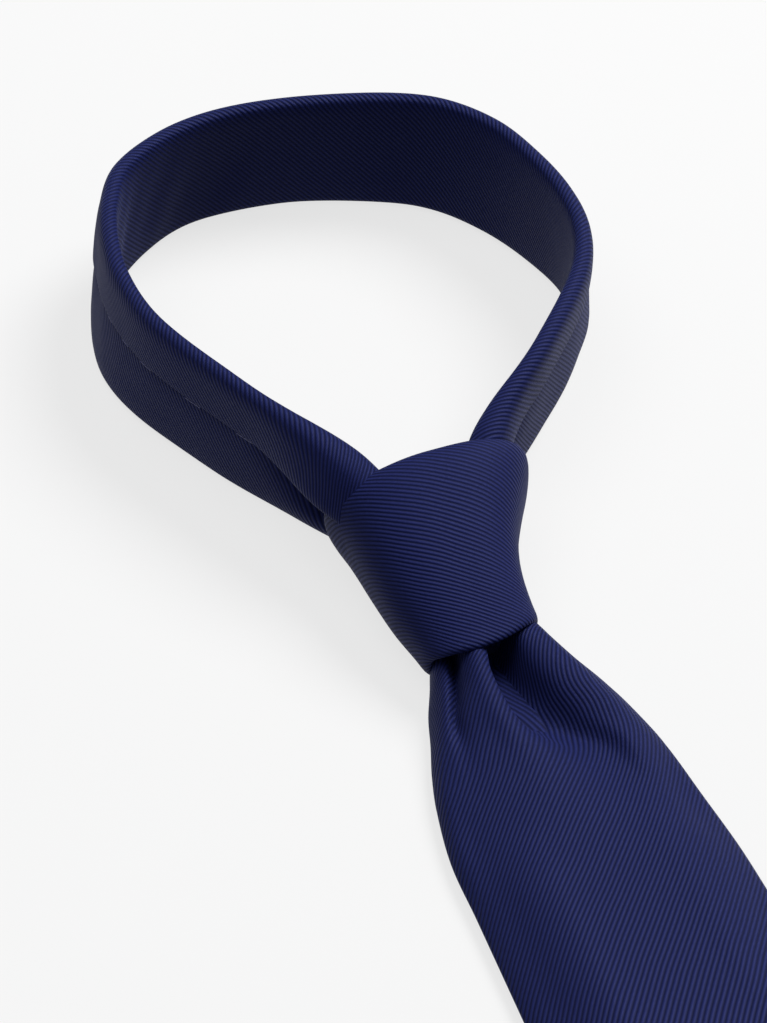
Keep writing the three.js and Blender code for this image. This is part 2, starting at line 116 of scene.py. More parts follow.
def drawn(points, x):
    """The height at x of a smooth curve through given (x, height) pairs, level beyond its ends."""
    if x <= points[0][0]:
        return points[0][1]
    if x >= points[-1][0]:
        return points[-1][1]
    k = max(i for i, p in enumerate(points[:-1]) if p[0] <= x)

    def slope(i):
        if i in (0, len(points) - 1):
            return 0.0
        before, after = points[i - 1], points[i + 1]
        return (after[1] - before[1]) / (after[0] - before[0])

    (x0, y0), (x1, y1) = points[k], points[k + 1]
    width = x1 - x0
    t = (x - x0) / width
    return (
        (2 * t**3 - 3 * t**2 + 1) * y0
        + (t**3 - 2 * t**2 + t) * width * slope(k)
        + (3 * t**2 - 2 * t**3) * y1
        + (t**3 - t**2) * width * slope(k + 1)
    )


def settled(obj):
    """The object with its modifiers made final."""
    graph = bpy.context.evaluated_depsgraph_get()
    mesh = bpy.data.meshes.new_from_object(obj.evaluated_get(graph))
    obj.modifiers.clear()
    obj.data = mesh
    mesh.name = obj.name
    return obj


def cloth(name, rows, layer, rib_angle, finish, middle, pace=None, crowd=1.0, closed=False):
    """A strip of cloth laid through rows of points. Each row runs across the strip, and the rows follow it.
    The weave's own flat coordinates are measured along the cloth: x across the ribs and y along them.
    pace(row, distance across in mm) is how much the cloth has been drawn along where it is pulled askew,
    and crowd is how much closer together its ribs are pushed."""
    across, along = len(rows[0]), len(rows)
    sheet = bmesh.new()
    bmesh.ops.create_grid(sheet, x_segments=across - 1, y_segments=along - 1, size=0.5)
    sheet.verts.ensure_lookup_table()
    sheet.verts.index_update()
    turn = math.radians(rib_angle)
    length = 0.0
    flat = []
    for j, row in enumerate(rows):
        run = [0.0]
        for a, b in zip(row, row[1:]):
            run.append(run[-1] + (b - a).length)
        if j:
            length += (row[middle] - rows[j - 1][middle]).length
        for i, place in enumerate(row):
            sheet.verts[j * across + i].co = place
            u = (run[i] - run[middle]) * crowd
            v = (length + (pace(j, u / MM) * MM if pace else 0)) * crowd
            flat.append((u * math.cos(turn) - v * math.sin(turn), u * math.sin(turn) + v * math.cos(turn)))
    weave = sheet.loops.layers.uv.new("weave")
    for face in sheet.faces:
        face.smooth = True
        for loop in face.loops:
            loop[weave].uv = flat[loop.vert.index]
    if closed:
        bmesh.ops.remove_doubles(sheet, verts=sheet.verts, dist=1e-6)
        ends = [e for e in sheet.edges if e.is_boundary]
        bmesh.ops.holes_fill(sheet, edges=ends, sides=0)
    mesh = bpy.data.meshes.new(name)
    sheet.to_mesh(mesh)
    sheet.free()
    obj = bpy.data.objects.new(name, mesh)
    bpy.context.collection.objects.link(obj)
    mesh.materials.append(finish)
    if layer:
        thicken = obj.modifiers.new("layer", "SOLIDIFY")
        thicken.thickness = layer * MM
        thicken.offset = -1
        thicken.use_even_offset = False
        settled(obj)
    return obj


def silk_twill(name, rib, groove_painted_shade, rib_pitch=1.0, roughness=0.52, sheen=0.045):
    """Heavy silk twill: rounded diagonal ribs of fine yarn floats, with painted shade darkening the grooves
    between them.
    """
    finish = bpy.data.materials.new(name)
    finish.use_nodes = True
    tree = finish.node_tree
    tree.nodes.clear()
    new, join = tree.nodes.new, tree.links.new
    output = new("ShaderNodeOutputMaterial")
    shader = new("ShaderNodeBsdfPrincipled")
    join(shader.outputs["BSDF"], output.inputs["Surface"])
    weave = new("ShaderNodeUVMap")
    weave.uv_map = "weave"
    parts = new("ShaderNodeSeparateXYZ")
    join(weave.outputs["UV"], parts.inputs[0])

    def sum_of(kind, a, b=0.0):
        node = new("ShaderNodeMath")
        node.operation = kind
        for socket, value in zip(node.inputs, (a, b)):
            if isinstance(value, (int, float)):
                socket.default_value = value
            else:
                join(value, socket)
        return node.outputs[0]

    # The ribs wander very slightly, as woven ones do.
    drift = new("ShaderNodeTexNoise")
    drift.noise_dimensions = "2D"
    drift.inputs["Scale"].default_value = 70.0
    drift.inputs["Detail"].default_value = 1.0
    join(weave.outputs["UV"], drift.inputs["Vector"])
    wander = sum_of("MULTIPLY", sum_of("SUBTRACT", drift.outputs[0], 0.5), 0.35 * rib_pitch * MM)
    across = sum_of("ADD", parts.outputs[0], wander)
    wave = sum_of("PINGPONG", across, rib_pitch * MM / 2)
    wave = sum_of("MULTIPLY", wave, 2 / (rib_pitch * MM))
    round_rib = sum_of("POWER", sum_of("SINE", sum_of("MULTIPLY", wave, math.pi / 2)), 1.6)

    # Short yarn floats cross each rib at a slant.
    slant = sum_of("ADD", sum_of("MULTIPLY", across, 0.9), parts.outputs[1])
    float_wave = sum_of("PINGPONG", slant, 0.19 * MM)
    yarn = sum_of("MULTIPLY", float_wave, 1 / (0.19 * MM))

    # No two yarns take the dye or the light quite alike.
    grain = new("ShaderNodeTexNoise")
    grain.noise_dimensions = "2D"
    grain.inputs["Scale"].default_value = 1500.0
    grain.inputs["Detail"].default_value = 2.0
    join(weave.outputs["UV"], grain.inputs["Vector"])
    uneven = sum_of("MULTIPLY", sum_of("SUBTRACT", grain.outputs[0], 0.5), 0.55)
    level = sum_of("ADD", sum_of("MULTIPLY", round_rib, 0.86), sum_of("MULTIPLY", yarn, 0.14))
    level = sum_of("ADD", level, sum_of("MULTIPLY", uneven, round_rib))

    # Painted shade: the ribs take the silk's own navy, and the grooves between them a much darker colour
    # that stands in for the shade falling into them.
    colour = new("ShaderNodeMix")
    colour.data_type = "RGBA"
    colour.clamp_factor = True
    colour.inputs["A"].default_value = (*groove_painted_shade, 1)
    colour.inputs["B"].default_value = (*rib, 1)
    join(level, colour.inputs["Factor"])
    join(colour.outputs["Result"], shader.inputs["Base Color"])

    rough = sum_of("SUBTRACT", roughness + 0.14, sum_of("MULTIPLY", level, 0.14))
    join(rough, shader.inputs["Roughness"])
    shader.inputs["Specular IOR Level"].default_value = 0.07
    shader.inputs["Specular Tint"].default_value = (0.5, 0.56, 1, 1)
    shader.inputs["Sheen Weight"].default_value = sheen
    shader.inputs["Sheen Roughness"].default_value = 0.35
    shader.inputs["Sheen Tint"].default_value = (0.38, 0.44, 1, 1)

    relief = new("ShaderNodeBump")
    relief.inputs["Strength"].default_value = 0.65
    relief.inputs["Distance"].default_value = 0.22 * MM
    height = sum_of("ADD", round_rib, sum_of("MULTIPLY", yarn, 0.16))
    join(height, relief.inputs["Height"])
    join(relief.outputs["Normal"], shader.inputs["Normal"])
    return finish


# The first colour is the silk's own navy on the ribs; the second is painted shade for the grooves between
# them.
navy_silk = silk_twill("navy silk twill", (0.0062, 0.0093, 0.053), (0.0011, 0.0016, 0.0115))

BAND_HEIGHT = 31.0
# The turn of the weave in degrees, which sets the slant of the ribs across the strip.
BAND_RIBS = 43
# Bottom and top of the band along its way, from the left leg round the back to the right leg:
# each is x, y and height, in millimetres from the mouth of the knot.
BAND_FOOT = [
    (-11, 30, 8), (-14.4, 45.6, 2.5), (-20.4, 59, 0.3), (-31.9, 78.8, 0.2), (-42.8, 103, 0.2),
    (-45.8, 118, 0.2), (-44.6, 130, 0.2), (-40, 143.8, 0.2), (-32, 154.5, 0.2), (-13, 166.6, 0.2),
    (11, 166.8, 0.2), (35.2, 158.0, 0.2), (44.5, 151.0, 0.2), (53.3, 138.8, 0.2), (59.4, 125, 0.2),
    (62.2, 111, 0.2), (60.2, 99.5, 0.2), (52.3, 87.8, 0.2), (36.6, 69.0, 0.2), (20.5, 50.5, 2.5),
    (12.5, 38, 6), (8, 29, 9),
]
BAND_TOP = [
    (-7.6, 29.6, 20), (-13.6, 38.8, 27), (-18.9, 48.4, 30), (-31.3, 74.2, 31), (-41.3, 101, 31),
    (-42.8, 116.8, 31), (-40.9, 130.6, 31), (-36.9, 143.8, 31), (-30.6, 155.1, 31), (-12.6, 164.4, 31),
    (12, 164.4, 31), (34.9, 158.4, 31), (45.8, 152.2, 31), (54.2, 141, 31), (58.4, 126.8, 31),
    (60.3, 113, 31), (59.6, 99.8, 31), (54.6, 86.2, 31), (37.4, 65, 31), (21.2, 50.2, 28),
    (13.4, 41.8, 25), (8.5, 34, 19),
]
# Sections of the folded tube: height up the band and distance outwards from its middle. The first is the
# pressed band, the second the left leg where the knot crushes it and the lap springs open.
PRESSED = [
    (24, 1.25), (20, 1.28), (18.5, 1.35), (17.9, 1.8), (18.5, 2.2), (21, 2.35), (25, 2.4), (28.6, 2.2),
    (30.3, 1.5), (31, 0), (30.4, -1.5), (28.9, -2.1), (24, -2.3), (17, -2.35), (10, -2.4), (4, -2.4),
    (0.9, -2.0), (0.1, 0), (0.7, 1.9), (3, 2.3), (8, 2.25), (13, 2.05), (17, 1.6), (20, 0.85),
    (23, 0.6),
]
CRUSHED = [
    (27, 2.8), (24.2, 4.8), (22, 6.4), (20.6, 7.7), (20.7, 8.6), (22.6, 8.4), (25.4, 6.9), (28.4, 4.8),
    (30.4, 2.4), (31, 0), (30.6, -2.4), (28.8, -4.2), (24, -4.8), (17, -4.8), (10, -4.2), (4, -3.2),
    (0.9, -2.0), (0.1, -0.2), (0.6, 1.8), (2.6, 2.6), (4.6, 2.1), (5.8, 0.2), (6.8, -2.4), (12, -4.0),
    (20, -3.7),
]
# How far along the band its soft waves lie, how long each leg is, and how much the ribs are pulled askew.
WAVES_AT = 136.0
LEG_LENGTH = 70
LEAN = 0.16
BAND_STEPS = 12
SECTION_STEPS = 4
PLAIN_FACE_POINT = 13 * SECTION_STEPS
foot_line = smooth_line(BAND_FOOT, BAND_STEPS)
top_line = smooth_line(BAND_TOP, BAND_STEPS)


def band_frames():
    """For each place along the band: its foot, the ways up it and out of the loop, and how far along."""
    frames = []
    middles = [(f + t) / 2 for f, t in zip(foot_line, top_line)]
    run = 0.0
    for k, (foot, top) in enumerate(zip(foot_line, top_line)):
        ahead = middles[min(k + 1, len(middles) - 1)] - middles[max(k - 1, 0)]
        up = (top - foot) / BAND_HEIGHT
        out = up.normalized().cross(ahead.normalized()).normalized()
        if k:
            run += (middles[k] - middles[k - 1]).length
        frames.append((foot, up, out, run))
    return frames, run


band, band_length = band_frames()


def crushed(run, start, reach):
    """How much the knot crushes the band at a distance along it, more on the left leg than on the right."""
    left = 1 - ease((run - start) / reach)
    right = 1 - ease((band_length - run - 10) / 26)
    return max(left, 0.45 * right)


def band_section(run):
    """The band's outline at a distance along it: pressed flat, and crushed where the knot grips a leg."""
    crush = crushed(run, 16, 30)
    return [Vector(p).lerp(Vector(c), crush) for p, c in zip(PRESSED, CRUSHED)]


def band_ripple(run, height):
    """Soft diagonal waves where the band turns at the back left, strongest in the middle of the face."""
    near = math.exp(-(((run - WAVES_AT) / 30) ** 2))
    wave = 0.7 * math.sin((run - 0.47 * height) / 1.8) + 1.2 * math.sin((run - 0.6 * height) / 4.1 + 1.0)
    up_the_face = math.sin(math.pi * min(max(height / BAND_HEIGHT, 0), 1))
    soft = noise.noise(Vector((run / 26, height / 20, 2.0)))
    return 0.24 * near * wave * up_the_face + 0.5 * soft


band_rows = []
for foot, up, out, run in band:
    outline = smooth_line(band_section(run), SECTION_STEPS)
    row = []
    for height, depth in outline:
        push = band_ripple(run, height)
        row.append(at(*(foot + up * height + out * (depth + push))))
    band_rows.append(row)


def band_askew(row, across):
    """The band was pulled askew from its middle to both ends, a little more along the legs."""
    run = band[row][3]
    from_end = min(run, band_length - run)
    drawn_out = band_length / 2 - from_end + 0.1 * max(LEG_LENGTH - from_end, 0)
    return LEAN * math.copysign(drawn_out, run - band_length / 2)


neck_silk = cloth(
    "neck_band_silk", band_rows, SILK_LAYER, BAND_RIBS, navy_silk, PLAIN_FACE_POINT, band_askew, 0.97,
)
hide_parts("left_leg_shell", "neck_shell", "right_leg_shell")
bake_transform(neck_silk)


# ---- Interlining of the neck band ----------------------------------------------------------------
# One strip of cream woven wool, cut on the bias like the silk and laid loose inside the folded tube,
# against its plain face. It gives the band its body and its spring.

WOOL_LAYER = 1.0


def woven_cloth(name, colour, scale):
    """Plain-woven cloth: two sets of threads, each going over and under the other."""
    finish = bpy.data.materials.new(name)
    finish.use_nodes = True
    nodes, join = finish.node_tree.nodes, finish.node_tree.links.new
    shader = nodes["Principled BSDF"]
    weave = nodes.new("ShaderNodeUVMap")
    weave.uv_map = "weave"
    threads = nodes.new("ShaderNodeTexChecker")
    threads.inputs["Scale"].default_value = scale
    threads.inputs["Color1"].default_value = (*colour, 1)
    threads.inputs["Color2"].default_value = (*[0.72 * c for c in colour], 1)
    slub = nodes.new("ShaderNodeTexNoise")
    slub.inputs["Scale"].default_value = scale / 3
    tint = nodes.new("ShaderNodeMix")
    tint.data_type = "RGBA"
    tint.blend_type = "MULTIPLY"
    tint.inputs["Factor"].default_value = 0.35
    relief = nodes.new("ShaderNodeBump")
    relief.inputs["Strength"].default_value = 0.6
    relief.inputs["Distance"].default_value = 0.15 * MM
    join(weave.outputs["UV"], threads.inputs["Vector"])
    join(weave.outputs["UV"], slub.inputs["Vector"])
    join(threads.outputs["Color"], tint.inputs["A"])
    join(slub.outputs["Color"], tint.inputs["B"])
    join(tint.outputs["Result"], shader.inputs["Base Color"])
    join(threads.outputs["Fac"], relief.inputs["Height"])
    join(relief.outputs["Normal"], shader.inputs["Normal"])
    shader.inputs["Roughness"].default_value = 0.9
    return finish


cream_wool = woven_cloth("cream interlining", (0.62, 0.57, 0.46), 1400)
wool_rows = []
for foot, up, out, run in band[4:-4:2]:
    depth = mix(-0.7, -2.2, crushed(run, 12, 34))
    wool_rows.append([
        at(*(foot + up * height + out * (depth + band_ripple(run, height))))
        for height in (27.5, 24, 20, 16, 12, 8, 4, 3)
    ])
neck_wool = cloth("neck_band_interlining", wool_rows, WOOL_LAYER, 0, cream_wool, 3)
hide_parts("left_leg_interlining", "neck_interlining", "right_leg_interlining")
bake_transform(neck_wool)


# ---- Slip stitches of the neck band --------------------------------------------------------------
# One long navy silk thread that closes the lap on the outside of the band. It is caught through the cloth
# every few millimetres, so it shows as a row of short stitches just under the lapped edge.

THREAD = 0.26


def twisted_thread(name, colour):
    """Smooth twisted sewing thread."""
    finish = bpy.data.materials.new(name)
    finish.use_nodes = True
    nodes, join = finish.node_tree.nodes, finish.node_tree.links.new
    shader = nodes["Principled BSDF"]
    place = nodes.new("ShaderNodeTexCoord")
    twist = nodes.new("ShaderNodeTexWave")
    twist.bands_direction = "DIAGONAL"
    twist.inputs["Scale"].default_value = 900
    tint = nodes.new("ShaderNodeMix")
    tint.data_type = "RGBA"
    tint.inputs["A"].default_value = (*[0.6 * c for c in colour], 1)
    tint.inputs["B"].default_value = (*colour, 1)
    relief = nodes.new("ShaderNodeBump")
    relief.inputs["Distance"].default_value = 0.05 * MM
    join(place.outputs["Object"], twist.inputs["Vector"])
    join(twist.outputs["Fac"], tint.inputs["Factor"])
    join(tint.outputs["Result"], shader.inputs["Base Color"])
    join(twist.outputs["Fac"], relief.inputs["Height"])
    join(relief.outputs["Normal"], shader.inputs["Normal"])
    shader.inputs["Roughness"].default_value = 0.55
    return finish


def stitches(name, spans, thick, finish):
    """Short straight stitches, each from one place to another, joined in one piece."""
    thread = bmesh.new()
    for start, end in spans:
        made = bmesh.ops.create_cone(
            thread, cap_ends=True, segments=6, radius1=thick * MM / 2, radius2=thick * MM / 2,
            depth=(end - start).length,
        )
        turn = (end - start).to_track_quat("Z", "Y").to_matrix()
        bmesh.ops.rotate(thread, verts=made["verts"], cent=(0, 0, 0), matrix=turn)
        bmesh.ops.translate(thread, verts=made["verts"], vec=(start + end) / 2)
    mesh = bpy.data.meshes.new(name)
    thread.to_mesh(mesh)
    thread.free()
    obj = bpy.data.objects.new(name, mesh)
    bpy.context.collection.objects.link(obj)
    mesh.materials.append(finish)
    return obj


navy_thread = twisted_thread("navy silk thread", (0.045, 0.05, 0.16))
SEAM_HEIGHT = 17.5


def seam_place(k):
    """On the outside of the band, just under the lapped edge."""
    foot, up, out, run = band[k]
    crush = 1 - ease((run - 12) / 34)
    depth = mix(1.75, 2.4, crush) + band_ripple(run, SEAM_HEIGHT)
    return at(*(foot + up * SEAM_HEIGHT + out * depth))


LEFT_LEG_UNTIL = 4 * BAND_STEPS
NECK_UNTIL = 17 * BAND_STEPS
for node, first, until in (
    ("left_leg_slip_stitch", 18, LEFT_LEG_UNTIL), ("neck_slip_stitch", LEFT_LEG_UNTIL + 4, NECK_UNTIL),
):
    spans = [(seam_place(k), seam_place(k + 2)) for k in range(first, until, 7)]
    band_stitch = stitches(node + "_thread", spans, THREAD, navy_thread)
    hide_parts(node)
    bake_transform(band_stitch)


# ---- Knot ----------------------------------------------------------------------------------------
# The front wrap of the four-in-hand: the wide end laid across the face of the knot and drawn round both
# sides. Its two long edges are rolled in, one over the top of the knot and one at its mouth.

WRAP_RIBS = 36
WRAP_FROM, WRAP_TO = -62, 242
WRAP_STEPS = 120
WRAP_ROLL_STEPS = 3
ROUNDNESS = 2.5
LIP = 1.0
# The knot's left side, right side and crown, each by distance up from its mouth.
knot_left = [
    (-4, -14.4), (-1.5, -14.6), (4.6, -15.9), (12, -17.7), (21.4, -19.1), (32.3, -20.4), (38, -21.5),
    (44.2, -22.8),
]
knot_right = [
    (-4, 11.2), (4.5, 11.3), (11, 11.8), (16.6, 12.9), (22.4, 14.9), (29, 18.2), (37, 22.8), (42, 25.9),
    (46, 26.8),
]
knot_crown = [
    (-7, 15.0), (0, 16.8), (10, 20.6), (20, 24.6), (28, 27.4), (34, 28.9), (40, 29.7), (46, 29.9),
]
# Where the strip's two edges lie, by the angle round the knot (0 at its right side, 90 on its crown).
mouth_edge = [
    (-62, 2.5), (0, 1.2), (45, -2.2), (95, -5.6), (140, -4.2), (180, -1.4), (242, 0.5),
]
top_edge = [
    (-62, 41), (0, 42.0), (22, 42.6), (55, 42.2), (90, 41.2), (122, 40.4), (150, 42), (180, 44.0),
    (242, 42),
]


def knot_skin(angle, y, sunk):
    """A place on the outside of the knot, or sunk below it, with its y and its angle round the knot."""
    left, right, crown = drawn(knot_left, y), drawn(knot_right, y), drawn(knot_crown, y)
    middle, half, tall = (left + right) / 2, (right - left) / 2 - sunk, crown / 2 - sunk
    c, s = math.cos(math.radians(angle)), math.sin(math.radians(angle))
    x = middle + half * math.copysign(abs(c) ** (2 / ROUNDNESS), c)
    z = crown / 2 + tall * math.copysign(abs(s) ** (2 / ROUNDNESS), s)
    return at(x, y, max(z, 0.15))


wrap_rows = []
for k in range(WRAP_STEPS + 1):
    angle = mix(WRAP_FROM, WRAP_TO, k / WRAP_STEPS)
    low, high = drawn(mouth_edge, angle), drawn(top_edge, angle)
    across = [
        (low + 9, 2 * LIP + 0.6), (low + 4, 2 * LIP + 0.1), (low + 1.2, 1.75 * LIP), (low, LIP),
        (low + 0.35, 0.3 * LIP), (low + 1.4, 0),
    ]
    across += [(mix(low + 1.4, high - 5.5, t / 14), 0) for t in range(1, 14)]
    across += [
        (high - 5.5, 0.1), (high - 3.2, 0.45), (high - 1.2, 1.25), (high - 0.2, 2.4), (high - 0.6, 3.5),
        (high - 4, 4.0), (high - 9, 4.3),
    ]
    line = smooth_line(across, WRAP_ROLL_STEPS)
    wrap_rows.append([knot_skin(angle, y, sunk) for y, sunk in line])
knot_wrap = cloth(
    "knot_wrap_silk", wrap_rows, SILK_LAYER, WRAP_RIBS, navy_silk, 12 * WRAP_ROLL_STEPS, crowd=1.08,
)
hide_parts("knot_front_wrap")
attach(knot_wrap, "knot")


# ---- Turns inside the knot -----------------------------------------------------------------------
# The same wide end on its way round: the first turn behind the tail, the inner turn over it, and the riser
# that comes up behind, over the top and down under the wrap. The tail goes straight through. All are
# strips of the folded tie, squeezed narrow.

ROUND_STEPS = 28


def strap(name, line, across, sizes, finish, rib_angle):
    """A flat folded strip with rounded edges, laid along a line of places. sizes: its widths and depths."""
    rows = []
    for k, place in enumerate(line):
        along = (line[min(k + 1, len(line) - 1)] - line[max(k - 1, 0)]).normalized()
        face = across.cross(along)
        width, depth = sizes[k]
        row = []
        for step in range(ROUND_STEPS + 1):
            angle = math.pi - 2 * math.pi * (step % ROUND_STEPS) / ROUND_STEPS
            c, n = math.cos(angle), math.sin(angle)
            side = width / 2 * math.copysign(abs(c) ** 0.42, c)
            rise = depth / 2 * math.copysign(abs(n) ** 0.8, n)
            row.append(place + across * side * MM + face * rise * MM)
        rows.append(row)
    return cloth(name, rows, 0, rib_angle, finish, ROUND_STEPS // 4, closed=True)


# The riser's way through the knot: y, height, width and depth.
RISER_WAY = [
    (2, 9.4, 13, 2.6), (10, 12.4, 14, 3), (20, 16.6, 15, 3), (31, 18.6, 15, 3), (41, 18.8, 15, 3.2),
    (47, 16.4, 15.5, 3.2), (49.3, 10.5, 16, 3.2), (47.5, 4.6, 17, 3), (42, 1.9, 18, 2.6),
    (30, 1.7, 17, 2.6), (18, 1.7, 15, 2.6), (7, 1.7, 12, 2.4),
]
riser_way = smooth_line(RISER_WAY, 6)
riser_line = [at(0, y, z) for y, z, _, _ in riser_way]
riser_sizes = [(width, depth) for _, _, width, depth in riser_way]
ACROSS = Vector((1, 0, 0))
riser = strap("knot_riser_silk", riser_line, ACROSS, riser_sizes, navy_silk, 31)
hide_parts("knot_riser")

riser_like = [riser]
for node, narrow, ribs in (
    ("knot_under_turn", 0.74, 58), ("knot_tail_pass", 0.9, 33), ("knot_first_cross", 0.95, 58),
):
    low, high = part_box(node)
    middle, size = (low + high) / 2, (high - low) / MM
    line, sizes = [], []
    for k in range(15):
        share = k / 14
        line.append(Vector((middle.x, mix(low.y, high.y, share), middle.z)))
        sizes.append((0.96 * size.x * mix(narrow, 1, share), min(0.9 * size.z, 3.2)))
    turn = strap(node + "_silk", line, ACROSS, sizes, navy_silk, ribs)
    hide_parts(node)
    riser_like.append(turn)
for piece in riser_like:
    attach(piece, "knot")


# ---- Wide blade ----------------------------------------------------------------------------------
# The wide end: bias-cut twill with both edges rolled to the back, gathered in deep folds as it leaves the
# knot, lying over the tail with its margins dropped to the table, and cut to a right-angled point.

blade_low, blade_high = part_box("blade_shell")
BLADE_LENGTH = (MOUTH.y - blade_low.y) / MM
BLADE_CORNER = (blade_high.x - blade_low.x) / MM / 2
BLADE_THICK = 3.4
BLADE_TAPER = 0.033
BLADE_RIBS = 34
BLADE_HIGH = 9.2
FACE_STEPS = 4
# The hem inside the point's edges, the lap of the centre back seam, and how far its edge is turned in.
HEM = 12
SEAM_LAP = 3
BLADE_TURNED = 7
BLADE_SEAM_END = 100
keeper_low, keeper_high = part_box("keeper_loop")
KEEPER_MIDDLE = ((keeper_low.y + keeper_high.y) / 2 - MOUTH.y) / MM
# Across the front, left edge to right edge, at several distances below the mouth: x and height.
BLADE_FOLDS = [
    (4, [
        (-12.6, 5), (-11.8, 8), (-10, 8.6), (-8.6, 6.3), (-7.4, 10), (-5.6, 11.8), (-3.6, 12.0),
        (-2.2, 10.4), (-1.9, 6.4), (-1.0, 4.3), (1.4, 6.6), (4.0, 11.6), (9.4, 11.2), (11.6, 6),
    ]),
    (-3, [
        (-14.5, 3.5), (-13.5, 8.2), (-11.2, 9.8), (-9.1, 6.6), (-7.8, 11.4), (-6.0, 13.6), (-4.0, 13.9),
        (-2.5, 12.4), (-2.5, 7.2), (-1.5, 3.9), (1.6, 6.0), (4.6, 12.4), (9.8, 12.6), (12.8, 6),
    ]),
    (-10, [
        (-17.5, 2.5), (-15.9, 6.5), (-13.5, 8.8), (-11.4, 6.6), (-9.8, 10.4), (-7.8, 12.7),
        (-5.8, 13.3), (-4.0, 12.2), (-4.1, 7.6), (-2.8, 3.8), (1.6, 5.2), (5.6, 11.2), (11.6, 12.2),
        (17.0, 4),
    ]),
    (-18, [
        (-20.0, 2.3), (-18.3, 5.8), (-16.2, 7.4), (-14.6, 6.6), (-12.6, 9.0), (-9.6, 11.0),
        (-6.6, 12.0), (-4.2, 11.3), (-4.0, 7.4), (-2.2, 4.0), (3.6, 5.3), (8.4, 10.2), (14.4, 11.2),
        (20.6, 3.8),
    ]),
    (-26, [
        (-22.7, 2.2), (-21.0, 5.2), (-18.3, 6.8), (-15.8, 7.3), (-12.8, 8.7), (-9.4, 9.9), (-6.0, 11.0),
        (-3.2, 10.3), (-1.0, 8.0), (2.0, 5.6), (6.6, 5.2), (11.6, 8.8), (17.4, 9.7), (22.9, 3.6),
    ]),
    (-35, [
        (-25.1, 2.2), (-23.5, 4.9), (-20.3, 6.4), (-16.8, 7.4), (-13, 8.5), (-9, 9.5), (-5, 10.2),
        (-1.2, 9.8), (3.2, 8.4), (7.6, 6.8), (12.2, 6.9), (16.2, 8.9), (20.6, 7.4), (24.9, 3.3),
    ]),
    (-50, [
        (-27.6, 2.1), (-26, 4.2), (-22.2, 5.6), (-17.6, 7.2), (-13.2, 8.4), (-9, 9.1), (-5, 9.4),
        (-0.5, 9.3), (4.6, 8.8), (9.4, 8.3), (13.8, 8.0), (17.6, 7.3), (21.8, 5.3), (26.5, 2.8),
    ]),
]
# Beyond this the face is flat, with its points at these shares of half its width.
FLAT_FROM = -80
FLAT_SHARES = [-1, -0.94, -0.8, -0.63, -0.47, -0.32, -0.16, 0, 0.16, 0.32, 0.47, 0.63, 0.82, 1]


def blade_half(y):
    """Half the width of the blade where it lies flat."""
    s = BLADE_LENGTH + y
    if s < BLADE_CORNER:
        return s
    return BLADE_CORNER - BLADE_TAPER * (s - BLADE_CORNER) - 0.3 * ease((s - 200) / 150)


def blade_lie(x, y):
    """The height of the blade's face where it lies flat: up on the tail in the middle, down at its margins,
    and held up a little further out by the keeper loop."""
    resting = BLADE_THICK + 0.3
    shoulder = 13 + 9 * math.exp(-(((y - KEEPER_MIDDLE) / 45) ** 2))
    return resting + (BLADE_HIGH - resting) * (1 - ease((abs(x) - shoulder) / 17))


def thinned(full, s):
    """The thickness of a folded end, s up from its point, where it thins out."""
    return min(full, 0.8 + 0.3 * s)


def edge_drop(share, thick):
    """How far the face falls away where it rolls over to the back."""
    if abs(share) == 1:
        return thick / 2
    return 0.12 * thick if abs(share) > 0.9 else 0


def flat_front(y):
    half = blade_half(y)
    thick = thinned(BLADE_THICK, BLADE_LENGTH + y)
    return [(share * half, blade_lie(share * half, y) - edge_drop(share, thick)) for share in FLAT_SHARES]


BLADE_STATIONS = [*BLADE_FOLDS, *[(y, flat_front(y)) for y in (-65, -80, -95)]]


def blade_front(y):
    """The points across the blade's face at y."""
    if y <= FLAT_FROM:
        return flat_front(y)
    stations = BLADE_STATIONS[::-1]
    return [
        tuple(drawn([(s[0], s[1][i][part]) for s in stations], y) for part in (0, 1))
        for i in range(len(FLAT_SHARES))
    ]


# Points across each flap, as shares of the way from the rolled edge to the flap's inner edge.
FLAP_SHARES = (0.03, 0.12, 0.25, 0.4, 0.55, 0.7, 0.85, 1)


def folded_section(front, back, half_gap, turned):
    """A strip's outline across: left flap from its inner edge, left roll, face, right roll, right flap and
    the right flap's edge turned in. back gives the height of the back at x."""
    left, right = front[0][0], front[-1][0]
    under_lift = 0.85 * ease((8 - half_gap) / 10)

    def flap(edge, inner, lift):
        points = []
        for share in FLAP_SHARES:
            x = mix(edge, inner, share)
            rounded = 0.35 if share == FLAP_SHARES[0] else 0
            points.append((x, back(x) + lift * ease(share * 3) + rounded))
        return points

    turn = min(turned, 0.5 * (right - half_gap))
    edge_z = back(half_gap)
    outline = flap(left, -half_gap, under_lift)[::-1]
    outline += front
    outline += flap(right, half_gap + 0.4, 0)
    outline += [(half_gap, edge_z + 0.45), (half_gap + 0.4, edge_z + 0.95)]
    outline += [(half_gap + turn, edge_z + 1.05)]
    return outline


def flap_gap(s, corner, seam_end):
    """How far from the middle a flap's inner edge lies, s up from the point: a hem's width inside the
    point's edges, closing up above its corners, and lapped past the middle where the seam is sewn."""
    if s >= seam_end:
        return -SEAM_LAP
    if s > corner:
        return mix(corner - HEM, -SEAM_LAP, (s - corner) / (seam_end - corner))
    return max(s - HEM, 0.3)


def blade_back(y):
    """The height of the blade's back at x, as a function."""
    thick = thinned(BLADE_THICK, BLADE_LENGTH + y)
    gathered = ease((y + 60) / 35)

    def height(x):
        flat = blade_lie(x, y) - thick
        in_folds = 3.6 - 2.2 * ease((abs(x) - 11) / 10)
        return mix(flat, min(flat, in_folds), gathered)

    return height


def rows_down(marks):
    """Row places between marks (y, spacing): from the point of an end up to the knot."""
    places = []
    for (y0, step), (y1, _) in zip(marks, marks[1:]):
        count = max(round(abs(y1 - y0) / step), 1)
        places += [mix(y0, y1, k / count) for k in range(count)]
    return [*places, marks[-1][0]]


